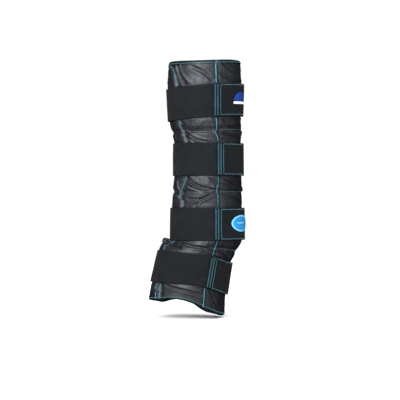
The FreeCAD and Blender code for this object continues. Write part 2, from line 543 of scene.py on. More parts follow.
class Finishes:
    """Every material of the wrap, built once."""

    def __init__(self) -> None:
        """Builds the materials."""
        kinds = {
            # black satin cloth with broad soft grey highlights on its folds
            "nylon": CoatedNylon("coated_nylon", "cover_nylon", "#1b1c20", "#121316", 0.56, 0.85),
            # flat charcoal with a faint grain along its length
            "elastic": RibbedElastic("ribbed_elastic", "elastic_web", "#15181a", "#101315", 0.85,
                                     0.15),
            # a cooler, smoother black than the elastic it joins
            "strip": CoatedNylon("coated_tape", "junction_tape", "#10151a", "#0b0f13", 0.75, 0.15),
            # dead black face that takes almost no light
            "tab": NappedCloth("bonded_tab_cloth", "tab_fabric", "#0f1114", "#0b0d0f", 0.9, 0.15),
            # coarse black bristle, a little shiny
            "hook": NappedCloth("moulded_hook_tape", "hook_tape", "#141518", "#0d0e10", 0.7,
                                0.4, 1.8),
            # soft black pile without any shine
            "loop": NappedCloth("brushed_loop_tape", "loop_tape", "#151619", "#0e0f12", 0.95,
                                0.15),
            # soft dark grey, the lightest of the cloths
            "lining": NappedCloth("brushed_lining", "lining_fleece", "#1d1f24", "#15171b", 0.95,
                                  0.15),
            # the cover's cloth pressed flat, so darker and more even
            "hem": CoatedNylon("folded_nylon", "binding_tape", "#15161a", "#0e0f12", 0.5, 0.4),
            # matt black tape with a fine weave
            "tape": WovenTape("woven_binding", "binding_tape", "#141519", "#0e0f12", 0.7, 0.3),
            # bright turquoise yarn, the strongest line on the cover
            "thread": TwistedThread("bright_thread", "binding_tape", "#3fb6c9", "#2f9db0", 0.55),
            # a darker copy of the turquoise thread: painted shade where the seam sinks in
            "shaded_thread": TwistedThread("shaded_thread", "binding_tape", "#2f8ea0", "#277b8b", 0.6,
                                         0.35),
            # dull teal copy of the thread: painted shade where it is half buried in the strip
            "shaded_strip_thread": TwistedThread("shaded_strip_thread", "junction_tape", "#2f7080", "#28606e",
                                          0.6, 0.3),
            # teal line, clear against the dead black tab
            "tab_thread": TwistedThread("tab_thread", "tab_fabric", "#3a8fa2", "#2f7c8e", 0.6, 0.3),
            # dark teal, hardly lighter than the cloth
            "dull_thread": TwistedThread("dull_thread", "junction_tape", "#2c6474", "#24525f",
                                         0.6, 0.35),
            # deep glossy blue
            "dome": MouldedBadge("blue_moulding", "dome_badge", "#0b3a94", "#0a3484", 0.4),
            # clean white, brightest spot on the wrap
            "bar": MouldedBadge("white_moulding", "dome_badge", "#e8edf2", "#dfe5eb", 0.45),
            # clear sky blue with a highlight on its crown
            "oval": MouldedBadge("sky_moulding", "oval_badge", "#1583c4", "#127ab8", 0.4),
            # pale blue rim that outlines the oval
            "rim": MouldedBadge("pale_moulding", "oval_badge", "#6cc0ee", "#5fb4e4", 0.4),
            # watery blue with sharp wet highlights
            "gel": GelFilm("gel_film", "gel_pack", "#2f78b4", "#23609a", 0.25),
        }
        self.slots = {key: kind.slot for key, kind in kinds.items()}
        self.made = {key: kind.build() for key, kind in kinds.items()}

    def put(self, piece: Mesh, key: str) -> Mesh:
        """Dresses a piece in one finish and reports it."""
        piece.data.materials.clear()
        piece.data.materials.append(self.made[key])
        log.info("%s made, in %s", piece.name, key)
        return piece


# ---------------------------------------------------------------- covers

@dataclass(frozen=True)
class Crease:
    """A fold line on the cover, bowed between its two ends."""

    height_from: float
    angle_from: float
    height_to: float
    angle_to: float
    bow: float
    depth: float
    width: float

    def reach(self, height: float, angle: float) -> float:
        """Returns how far the cloth is drawn in at a height and angle."""
        arc = 1.36  # millimetres to a degree
        past = 0.15  # share of its length that it fades over, past each end
        along = Vector(((self.angle_to - self.angle_from) * arc,
                        self.height_to - self.height_from))
        here = Vector(((angle - self.angle_from) * arc, height - self.height_from))
        share = here.dot(along) / along.length_squared
        if not -past < share < 1 + past:
            return 0.0
        side = (here.x * along.y - here.y * along.x) / along.length
        off = side - self.bow * 4 * share * (1 - share)
        ends = smooth_step((share + past) / 0.3) * smooth_step((1 + past - share) / 0.3)
        lip = 0.45 * (bump(off - 2.2 * self.width, self.width)
                      + bump(off + 2.2 * self.width, self.width))
        return self.depth * ends * (bump(off, self.width) - lip)


CREASES = [Crease(*row) for row in (
    (60, -46, 25, -3, 7, 5.0, 2.2), (50, -40, 22, -12, 7, 3.6, 2.0),
    (48, -36, 45, 14, -2, 1.4, 2.0), (76, 12, 44, 16, -3, 2.6, 2.2),
    (-52, -36, -74, -4, 5, 3.4, 2.4), (-58, -30, -79, 15, 4, 3.6, 2.2),
    (-70, -34, -84, 15, 2, 2.6, 2.0), (-112, -20, -86, 14, -5, 2.8, 2.4),
    (-52, 2, -76, 16, -3, 3.0, 2.0), (-96, -36, -92, 2, 4, 1.8, 2.4),
    (196, -50, 152, -30, 4, 3.6, 3.4), (190, -22, 156, 12, -4, 2.0, 3.6),
    (172, 24, 152, 62, 3, 2.4, 3.0), (196, 30, 168, 66, 5, 2.0, 3.2), (70, 28, 48, 66, 4, 3.6, 2.6),
    (42, 24, 30, 66, -3, 4.0, 2.6), (56, 30, 60, 70, 3, 2.4, 2.2), (-54, 26, -72, 70, 4, 3.2, 2.4),
    (-66, 24, -92, 66, -3, 3.0, 2.2), (-88, 26, -110, 74, -4, 3.0, 2.4),
    (-192, -46, -206, 4, 3, 3.4, 2.4), (-196, 20, -222, 64, 4, 3.8, 2.6),
    (-198, -60, -212, -30, -3, 3.6, 2.2), (-206, 2, -214, 40, 2, 3.2, 2.2),
    (-298, -36, -312, 18, 4, 2.4, 3.0), (-296, 34, -336, 64, 3, 3.0, 2.6),
    (-296, -66, -318, -52, 2, 3.2, 2.2), (66, -80, 34, -58, 3, 3.0, 2.4),
    (-64, -84, -100, -60, 4, 3.2, 2.4), (-56, -62, -84, -50, 2, 3.4, 2.2),
    (186, -96, 158, -70, 4, 3.0, 2.8), (150, 110, 190, 170, 8, 2.6, 4.0),
    (60, 100, 36, 160, 6, 3.0, 3.0), (-60, 110, -108, 170, 8, 3.0, 3.0),
    (-60, -110, -104, -150, 6, 3.0, 3.0), (190, -100, 156, -150, 6, 2.6, 4.0),
    (-300, 100, -322, 150, 4, 2.6, 3.0), (64, -100, 40, -150, 5, 3.0, 2.8))]


@dataclass(frozen=True)
class Tuft:
    """A little bunch of cloth that stands out where a seam gathers it."""

    height: float
    angle: float
    size: float
    rise: float

    def stand(self, height: float, angle: float, point: Vector) -> float:
        """Returns how far the cloth stands out at a place."""
        near = bump(height - self.height, self.size) * bump((angle - self.angle) * 1.4, self.size)
        fold = 1 - 2 * abs(noise.noise(Vector((point.x * 90, point.y * 90, point.z * 210))))
        return self.rise * near * (0.35 + fold)


TUFTS = [Tuft(*row) for row in (
    (-200, -86, 10, 12), (-207, -66, 7, 6), (-193, -74, 6, 6), (197, -76, 8, 4), (58, -62, 7, 2),
    (-92, -66, 7, 2.5), (48, 82, 8, 4), (-78, 84, 8, 4), (-214, 62, 8, 3))]


@dataclass
class Cover:
    """One half of the quilted outer cover, inflated by a cloth simulation between its seams."""

    half: Half
    finishes: Finishes
    step: float = 3.5
    cells: int = 74
    cap_steps: int = 4
    frames: int = 26
    most_move: float = 8.0
    column_depth: float = 8.0
    row_depth: float = 3.6
    wall: float = 13.0
    quilt_line: tuple[tuple[float, float], ...] = (
        (203, -82), (190, -66), (177, -57), (152, -50), (75, -47), (55, -47), (45, -43), (24, -40),
        (-50, -40), (-95, -55), (-101, -47), (-117, -46), (-188, -60), (-206, -70), (-240, -58),
        (-275, -50), (-308, -50), (-338, -47))

    def columns(self, run: float) -> list[float]:
        """Returns the angles of the seams down the cover at a run."""
        sway = 1.8 * math.sin(run / 23.0)
        low = smooth_step((run - BANDS[2][1]) / 50)
        if self.half is Half.LEFT:
            return [self.front_quilt(run), -107 - 12 * low + sway]
        return [90 + 2 * low - sway, 144 - 12 * low + sway]

    def front_quilt(self, run: float) -> float:
        """Returns the angle of the wandering seam at the front left."""
        runs = [OUTSIDE.run_at(height) for height, _ in self.quilt_line]
        index, share = stretch_at(runs, run)
        first, second = self.quilt_line[index][1], self.quilt_line[index + 1][1]
        return first + (second - first) * min(max(share, 0.0), 1.0)

    @staticmethod
    def rows() -> list[float]:
        """Returns the runs of the seams round the cover, one between each pair of straps."""
        return [(upper[1] + lower[0]) / 2 for upper, lower in zip(BANDS, BANDS[1:])]

    def held(self, run: float, angle: float, arc: float) -> tuple[float, float]:
        """Works out how deep the cloth lies at a point, and how firmly it is held there.

        Args:
            run: distance down the axis.
            angle: degrees round it.
            arc: millimetres of arc to a degree.

        Returns:
            The offset from the tube, and a hold of 0 to 1.
        """
        band = under_strap(run, 3)
        out, hold = -0.6, 0.0
        for seam in self.columns(run):
            off = (angle - seam) * arc
            out -= self.column_depth * bump(off - 3.0, 5.0)
            hold = max(hold, 1.0 if abs(off) < self.step * 0.75 else 0.0)
        for row in self.rows():
            near = abs(run - row)
            out -= self.row_depth * bump(near, 5.0)
            hold = max(hold, 0.9 if near < self.step * 0.55 else 0.0)
        start, stop = self.half.angles(OUTSIDE.section(run))
        edge = min(angle - start, stop - angle) * arc
        out -= 1.6 * bump(edge, 4.0)
        border = min(edge, run, OUTSIDE.length - run) < 1
        return out * (1 - band) - 1.4 * band, 1.0 if border or band > 0.6 else hold

    def sheet(self) -> tuple[Mesh, list[float]]:
        """Lays out the cloth: an outside wall whose borders turn in to the lining.

        Returns:
            The object and each vertex's hold.
        """
        random.seed(11 if self.half is Half.LEFT else 12)
        rows, columns, cap = round(OUTSIDE.length / self.step), self.cells, self.cap_steps
        points, holds = [], []
        for i in range(-cap, rows + 1 + cap):
            run = OUTSIDE.length * min(max(i, 0), rows) / rows
            cap_run = max(-i, i - rows, 0) / cap
            here = OUTSIDE.section(run)
            start, stop = self.half.angles(here)
            for j in range(-cap, columns + 1 + cap):
                angle = start + (stop - start) * min(max(j, 0), columns) / columns
                turned = max(cap_run, max(-j, j - columns, 0) / cap)
                out, hold = self.held(run, angle, here.radius * DEGREE)
                if turned:
                    hold = 1.0 if turned > 0.9 else 0.35
                shake = random.uniform(-0.3, 0.3) * (1 - hold)
                inner = lining_beside(drawn_up(run, angle), angle, 1.0)
                points.append(cloth_point(run, angle, out + shake).lerp(inner, turned))
                holds.append(hold)
        wide = columns + 1 + 2 * cap
        faces = [(a + wide, a + 1 + wide, a + 1, a)
                 for i in range(rows + 2 * cap) for a in range(i * wide, (i + 1) * wide - 1)]
        return mesh_object("cover_" + self.half.value, points, faces), holds

    def inflate(self, piece: Mesh, holds: list[float]) -> None:
        """Swells the cloth between its seams with Blender's cloth, and keeps the result.

        Args:
            piece: the laid-out cloth.
            holds: how firmly each vertex is held.
        """
        rest = [v.co.copy() for v in piece.data.vertices]
        group = piece.vertex_groups.new(name="hold")
        for index, hold in enumerate(holds):
            group.add([index], hold, "REPLACE")
        cloth = piece.modifiers.new("cloth", "CLOTH")
        set_up(cloth.settings, quality=6, mass=0.25, tension_stiffness=20,
               compression_stiffness=20, shear_stiffness=6, bending_stiffness=0.08,
               vertex_group_mass="hold", pin_stiffness=1.0, shrink_min=-0.055,
               use_pressure=True, uniform_pressure_force=2.4)
        cloth.settings.effector_weights.gravity = 0.0
        cloth.collision_settings.use_collision = False
        scene = bpy.context.scene
        set_up(scene, frame_start=1, frame_end=self.frames)
        for frame in range(1, self.frames + 1):
            scene.frame_set(frame)
        shown = piece.evaluated_get(bpy.context.evaluated_depsgraph_get())
        moved = [v.co.copy() for v in shown.data.vertices]
        piece.modifiers.remove(cloth)
        scene.frame_set(1)
        limit = self.most_move * MM
        for vertex, before, after in zip(piece.data.vertices, rest, moved):
            shift = after - before
            if shift.length > limit:
                shift *= limit / shift.length
            vertex.co = before + shift
        piece.data.update()

    def gathers(self, run: float, angle: float, arc: float) -> float:
        """Returns how far the gathers along seams and strap edges draw the cloth in."""
        depth = 0.0
        for seam in self.columns(run):
            off = abs((angle - seam) * arc)
            phase = run / 10.0 + 1.6 * noise.noise(Vector((run / 16, seam / 40, 3)))
            depth += 0.45 * bump(off - 6, 6) * ripple(phase)
        for low, high in BANDS:
            off = max(low - run, run - high)
            if 0 < off < 24:
                warp = noise.noise(Vector((angle / 20, run / 30, low)))
                phase = angle * arc / 24.0 + 6.0 * warp
                depth += 0.65 * bump(off - 5, 8) * ripple(phase) * min(abs(warp) * 2.5, 1)
        return depth

    def crumple(self, piece: Mesh) -> None:
        """Draws in the fold lines and adds the tufts, gathers and small crumples of the cloth."""
        normals = [v.normal.copy() for v in piece.data.vertices]
        for vertex, normal in zip(piece.data.vertices, normals):
            run, angle, radius = OUTSIDE.locate(vertex.co)
            here = OUTSIDE.section(run)
            if radius < here.radius - self.wall:
                continue
            if self.half is Half.RIGHT and angle < -100:
                angle += 360
            run = laid_run(run, angle)
            height = OUTSIDE.section(run).height
            spot = vertex.co
            warp = noise.noise_vector(spot * 22) * 0.35
            ridge = 1 - 2 * abs(noise.noise(Vector((spot.x * 38, spot.y * 38, spot.z * 62)) + warp))
            reach = sum(crease.reach(height, angle) for crease in CREASES)
            reach += self.gathers(run, angle, here.radius * DEGREE)
            reach += 0.5 * (ridge - 0.55) + 0.25 * noise.fractal(spot * 60, 1.0, 2.1, 2)
            reach -= sum(tuft.stand(height, angle, spot) for tuft in TUFTS)
            edge = min(run, OUTSIDE.length - run)
            hush = (1 - under_strap(run, 1)) * (0.25 + 0.75 * smooth_step(edge / 10))
            vertex.co -= normal * MM * reach * hush
        piece.data.update()

    def build(self) -> Mesh:
        """Makes the half cover and puts it on its body."""
        piece, holds = self.sheet()
        self.inflate(piece, holds)
        piece.vertex_groups.clear()
        apply_modifier(piece, "SUBSURF", levels=1, render_levels=1)
        self.crumple(piece)
        apply_modifier(piece, "SOLIDIFY", thickness=1.0 * MM, offset=-1.0)
        smooth_shade(piece, 180)
        self.finishes.put(piece, "nylon")
        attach(piece, self.half.body)
        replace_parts(piece, "outer_cover_" + self.half.value)
        return piece


# ---------------------------------------------------------------- flat pieces and thread

@dataclass
class Laid:
    """A flat piece laid round the wrap: a grid, wrapped, given a thickness and soft edges."""

    name: str
    finishes: Finishes
    finish: str
    thickness: float
    across: int
    down: int

    def wrap(self, where: Lay, edge: float = 0.0, body: str = "", node: str = "") -> Mesh:
        """Lays the grid where a function says.

        Args:
            where: the point for a share along and a share down, each 0 to 1.
            edge: the bevel on its edges, in millimetres.
            body: the CAD body it rides on, if it rides on one alone.
            node: the CAD node it stands for.

        Returns:
            The piece.
        """
        piece = primitive("grid", x_subdivisions=self.across, y_subdivisions=self.down, size=1.0)
        piece.name = piece.data.name = self.name
        for vertex in piece.data.vertices:
            vertex.co = where(vertex.co.x + 0.5, 0.5 - vertex.co.y)
        piece.data.update()
        apply_modifier(piece, "SOLIDIFY", thickness=self.thickness * MM, offset=1.0)
        if edge:
            round_edges(piece, edge)
        smooth_shade(piece)
        self.finishes.put(piece, self.finish)
        if body:
            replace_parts(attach(piece, body), node)
        return piece


class Seamster:
    """Sews: copies one modelled stitch along lines, and joins each line set to one piece."""

    def __init__(self, finishes: Finishes) -> None:
        """Models the one stitch that every seam repeats."""
        self.finishes = finishes
        stitch = primitive("uv_sphere", segments=6, ring_count=4, radius=0.5)
        self.points = [v.co.copy() for v in stitch.data.vertices]
        self.faces = [tuple(p.vertices) for p in stitch.data.polygons]
        bpy.data.objects.remove(stitch)

    def sew(self, name: str, stitches: Iterable[Stitch], length: float, thick: float, body: str,
            finish: str) -> Mesh:
        """Sews one set of stitches.

        Args:
            name: the piece's name.
            stitches: where each stitch goes.
            length: a stitch's length, in millimetres.
            thick: the thread's thickness, in millimetres.
            body: the CAD body it rides on.
            finish: the thread's finish.

        Returns:
            The stitching, as one piece.
        """
        points, faces = [], []
        for middle, along, out in stitches:
            along = along.normalized()
            side = along.cross(out).normalized()
            turn = Matrix((side, side.cross(along), along)).transposed()
            base = len(points)
            for p in self.points:
                local = Vector((p.x * thick, p.y * thick, p.z * length)) * MM
                points.append(middle + turn @ local)
            faces.extend(tuple(base + i for i in face) for face in self.faces)
        piece = mesh_object(name, points, faces)
        bpy.ops.object.mode_set(mode="EDIT")
        bpy.ops.mesh.select_all(action="SELECT")
        bpy.ops.mesh.normals_make_consistent(inside=False)
        bpy.ops.object.mode_set(mode="OBJECT")
        smooth_shade(piece, 180)
        self.finishes.put(piece, finish)
        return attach(piece, body)

    @staticmethod
    def turned(stitches: Iterable[Stitch], slants: Sequence[float]) -> list[Stitch]:
        """Turns the stitches of a line by angles from its direction, taken in turn."""
        found = []
        for index, (middle, along, out) in enumerate(stitches):
            along = along.normalized()
            slant = math.radians(slants[index % len(slants)])
            along = along * math.cos(slant) + along.cross(out) * math.sin(slant)
            found.append((middle, along, out))
        return found

    @staticmethod
    def line(lay: Lay, track: Track, start: float, stop: float, pitch: float) -> list[Stitch]:
        """Spaces stitches along a line on the wrap.

        Args:
            lay: the point for a run and an angle.
            track: the line's run and angle at a value.
            start: the first value.
            stop: the last value.
            pitch: the distance between stitches, in millimetres.

        Returns:
            The stitches.
        """
        samples = 60
        path = [lay(*track(start + (stop - start) * i / samples)) for i in range(samples + 1)]
        length = sum((b - a).length for a, b in zip(path, path[1:]))
        count = max(int(length / (pitch * MM)), 1)
        step = (stop - start) * 0.4 / count
        found = []
        for i in range(count):
            value = start + (stop - start) * (i + 0.5) / count
            run, angle = track(value)
            along = lay(*track(value + step)) - lay(*track(value - step))
            found.append((lay(run, angle), along, OUTSIDE.section(run).outward(angle)))
        return found


class Surface:
    """The finished cover's face, found by looking in from outside."""

    def __init__(self, covers: Sequence[Mesh]) -> None:
        """Indexes the covers' faces."""
        self.trees = [BVHTree.FromPolygons([v.co for v in cover.data.vertices],
                                           [p.vertices for p in cover.data.polygons])
                      for cover in covers]

    def point(self, run: float, angle: float, out: float = 0.0) -> Vector:
        """Returns the point on the cover's cloth laid at a run and angle, lifted off it."""
        return self.lying(drawn_up(run, angle), angle, out)

    def lying(self, run: float, angle: float, out: float = 0.0) -> Vector:
        """Returns the point on the cover where it lies at a run and angle, lifted off it."""
        away, deepest = 20, 4
        here = OUTSIDE.section(run)
        outward = here.outward(angle)
        start = here.point(angle, here.radius + away)
        best = here.radius - deepest
        for tree in self.trees:
            distance = tree.ray_cast(start, -outward, 45 * MM)[3]
            if distance is not None:
                best = max(best, here.radius + away - distance / MM)
        return here.point(angle, best + out)


# ---------------------------------------------------------------- closures

@dataclass
class Closure:
    """One strap: elastic, junction strip, hook tab with its pad, loop patch and stitching."""

    number: int
    edge: float
    finishes: Finishes
    seamster: Seamster
    strip_width: float = 8.5
    tab_near: float = 9.0
    tab_end: float = 110.0
    elastic_start: float = -122.0
    tab_out: float = 3.0
    cloth: float = 2.0
    tape_width: float = 8.0
    tape_inset: float = 1.5

    @property
    def runs(self) -> tuple[float, float]:
        """The runs of the strap's two edges."""
        return BANDS[self.number - 1]

    def across(self, start: float, stop: float, out: float, margin: float = 0.0,
               corner: float = 0.0, wave: float = 0.0) -> Lay:
        """Makes the function that lays a piece of this strap.

        Args:
            start: its first angle.
            stop: its last angle.
            out: how far outside the cover it lies.
            margin: how far inside the strap's edges it stops.
            corner: the radius of its two far corners.
            wave: how much its surface wanders.

        Returns:
            The point for a share along and a share down.
        """
        top, low = self.runs

        def where(along: float, down: float) -> Vector:
            """Returns the point for a share along and a share down."""
            angle = start + (stop - start) * along
            run = top + margin + (low - top - 2 * margin) * down
            reach = (1 - along) * (stop - start) * 1.4
            if corner and reach < corner:
                middle, half = (top + low) / 2, (low - top) / 2 - margin
                cut = corner - math.sqrt(corner ** 2 - (corner - reach) ** 2)
                run = middle + (run - middle) * (half - cut) / half
            wander = wave * noise.noise(Vector((angle / 22, run / 30, self.number * 3.7)))
            edge = 0.5 * noise.noise(Vector((angle / 14, self.number, down * 9)))
            return cloth_point(run + edge, angle, out + wander)
        return where

    def tape(self, name: str, bodies: tuple[str, str], start: float, out: float,
             turns: tuple[float, float]) -> None:
        """Lays a soft tape under a joint of the strap.

        Args:
            name: the piece's name.
            bodies: the CAD bodies on either side, not used.
            start: its first angle.
            out: how far outside the cover it lies.
            turns: the angles either side of the joint; the tape is not bent between them.
        """
        tape = Laid(name, self.finishes, "strip", 0.5, 12, 26).wrap(
            self.across(start, start + self.tape_width, out, self.tape_inset))
        here = OUTSIDE.section(sum(self.runs) / 2)
        before, after = [here.point(turn, here.radius + self.tab_out) for turn in turns]
        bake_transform(tape)
        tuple(before)
        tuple(after)

    def build(self) -> None:
        """Makes the strap's pieces and puts them on their bodies."""
        tag, edge = "_%d" % self.number, self.edge
        near = edge + self.strip_width
        strip, tab = "strip" + tag, "tab" + tag
        for name, finish, thick, cells, body, node, where, rounding in (
                ("elastic", "elastic", self.cloth, (70, 26), "left_half", "elastic_strap",
                 self.across(self.elastic_start, edge - 0.3, 0.9, wave=0.5), 0.7),
                ("junction", "strip", self.cloth, (8, 26), strip, "junction_strip",
                 self.across(edge - 0.5, near + 0.2, self.tab_out), 0.5),
                ("tab", "tab", self.cloth, (48, 26), tab, "hook_tab",
                 self.across(edge + self.tab_near, self.tab_end, self.tab_out, corner=12), 0.7),
                ("hooks", "hook", 0.9, (40, 20), tab, "hook_pad",
                 self.across(edge + 16, 105, 2.05, 3.0, 8), 0.2),
                ("loops", "loop", 0.8, (44, 20), "right_half", "loop_patch",
                 self.across(edge + 14, 107, 0.9, 1.0, 8), 0.2)):
            Laid(name + tag, self.finishes, finish, thick, *cells).wrap(
                where, rounding, body, node + tag)
        self.tape("root_tape" + tag, ("left_half", strip), edge - 4, 2.3, (edge - 1.2, edge + 1.2))
        self.tape("hinge_tape" + tag, (strip, tab), near - 3.5, 2.35, (near - 0.8, near + 1.3))
        self.sew(tag)

    def sew(self, tag: str) -> None:
        """Sews the strip's two zigzags, the tab's border and the elastic's far end."""
        out = self.tab_out + self.cloth - 0.1
        start, stop = self.elastic_start + 2, self.elastic_start + 9
        for name, angles, lift, inset, pitch, slant, length, body, finish in (
                # the strip's zigzags in the dull thread copy, painted shade
                ("strip_stitches", (self.edge + 2.2, self.edge + self.strip_width - 2.2), out,
                 2, 1.9, 58, 3.6, "strip" + tag, "shaded_strip_thread"),
                ("anchor_stitches", (start, stop), 2.8, 3, 2.4, 52, 4.2, "left_half",
                 "dull_thread")):
            zigzags = []
            for angle in angles:
                zigzags += Seamster.turned(self.down(angle, lift, inset, pitch), (slant, -slant))
            self.seamster.sew(name + tag, zigzags, length, 1.0, body, finish)
        inset, pitch = 3.2, 3.0
        start, stop = self.edge + self.tab_near + 1.6, self.tab_end - 2.4
        border = []
        for run in (self.runs[0] + inset, self.runs[1] - inset):
            border += Seamster.line(lambda r, a: cloth_point(r, a, out),
                                    lambda angle, r=run: (r, angle), start, stop, pitch)
        for angle in (start, stop):
            border += self.down(angle, out, inset, pitch)
        self.seamster.sew("tab_stitches" + tag, border, 2.5, 1.0, "tab" + tag, "tab_thread")

    def down(self, angle: float, out: float, inset: float, pitch: float) -> list[Stitch]:
        """Spaces stitches down the strap at one angle."""
        return Seamster.line(lambda r, a: cloth_point(r, a, out), lambda run: (run, angle),
                             self.runs[0] + inset, self.runs[1] - inset, pitch)


def ellipse(turn: float) -> tuple[float, float]:
    """The outline of an oval: its two shares at a turn, each -1 to 1."""
    return math.cos(turn), math.sin(turn)


def dome(turn: float) -> tuple[float, float]:
    """The outline of a dome with a flat foot."""
    return math.cos(turn), max(math.sin(turn), 0) * 1.6 - 0.6


def bar(turn: float) -> tuple[float, float]:
    """The outline of a bar with rounded corners."""
    power = 0.35
    return (math.copysign(abs(math.cos(turn)) ** power, math.cos(turn)),
            math.copysign(abs(math.sin(turn)) ** power, math.sin(turn)))


@dataclass
class Badges:
    """The two generic badges: a dome over a bar on tab 1, and a rimmed oval on tab 3."""

    finishes: Finishes
    out: float = 5.1
    thick: float = 1.4
    turns: int = 48
    rings: int = 6

    def plate(self, name: str, finish: str, middle: tuple[float, float],
              size: tuple[float, float], outline: Callable[[float], tuple[float, float]],
              rise: float, tab: str, out: float = 0.0) -> Mesh:
        """Moulds one badge plate: rings of a smooth outline, crowned, wrapped on the tab.

        Args:
            name: the piece's name.
            finish: its finish.
            middle: run and angle of its middle.
            size: half its width and half its height.
            outline: the outline's two shares at a turn, each -1 to 1.
            rise: how far its crown rises.
            tab: the body it rides on.
            out: how far it stands off the badge's base.

        Returns:
            The plate.
        """
        piece = primitive("circle", vertices=self.turns, radius=1.0)
        piece.name = piece.data.name = name
        bpy.ops.object.mode_set(mode="EDIT")
        bpy.ops.mesh.select_all(action="SELECT")
        for ring in range(self.rings, 0, -1):
            bpy.ops.mesh.extrude_region()
            share = (ring - 1) / ring
            bpy.ops.transform.resize(value=(share, share, 1), center_override=(0, 0, 0))
        bpy.ops.object.mode_set(mode="OBJECT")
        arc = DEGREE * (OUTSIDE.section(middle[0]).radius + self.out)
        for vertex in piece.data.vertices:
            share = math.hypot(vertex.co.x, vertex.co.y)
            wide, tall = outline(math.atan2(vertex.co.y, vertex.co.x))
            lift = self.out + out + self.thick + rise * (1 - share ** 2)
            vertex.co = OUTSIDE.point(middle[0] - tall * size[1] * share,
                                      middle[1] + wide * size[0] * share / arc, lift)
        bpy.ops.object.mode_set(mode="EDIT")
        bpy.ops.mesh.select_all(action="SELECT")
        bpy.ops.mesh.remove_doubles(threshold=0.02 * MM)
        bpy.ops.mesh.normals_make_consistent(inside=False)
        bpy.ops.object.mode_set(mode="OBJECT")
        outward = OUTSIDE.section(middle[0]).outward(middle[1])
        if piece.data.polygons[0].normal.dot(outward) < 0:
            piece.data.flip_normals()
        apply_modifier(piece, "SOLIDIFY", thickness=self.thick * MM, offset=-1.0)
        round_edges(piece, 0.35)
        smooth_shade(piece, 50)
        self.finishes.put(piece, finish)
        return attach(piece, tab)

    def build(self) -> None:
        """Makes both badges, each at the middle of its CAD node."""
        dome_run, oval_run = [OUTSIDE.run_at(sum(corner.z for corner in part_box(node)) / 2 / MM)
                              for node in ("dome_badge", "oval_badge")]
        plate = self.plate("badge_dome", "dome", (dome_run - 2, 62), (23, 11.5), dome, 0.5, "tab_1")
        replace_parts(plate, "dome_badge")
        self.plate("badge_bar", "bar", (dome_run + 9.5, 62), (24, 2.7), bar, 0.2, "tab_1")
        rim = self.plate("badge_rim", "rim", (oval_run, 62.5), (34.5, 18), ellipse, 0.1, "tab_3")
        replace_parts(rim, "oval_badge")
        self.plate("badge_oval", "oval", (oval_run, 62.5), (30.5, 14.8), ellipse, 0.6, "tab_3",
                   0.35)
        self.plate("badge_ripple", "rim", (oval_run - 1, 60), (15, 1.6), bar, 0.1, "tab_3", 1.2)


# ---------------------------------------------------------------- trims and inside

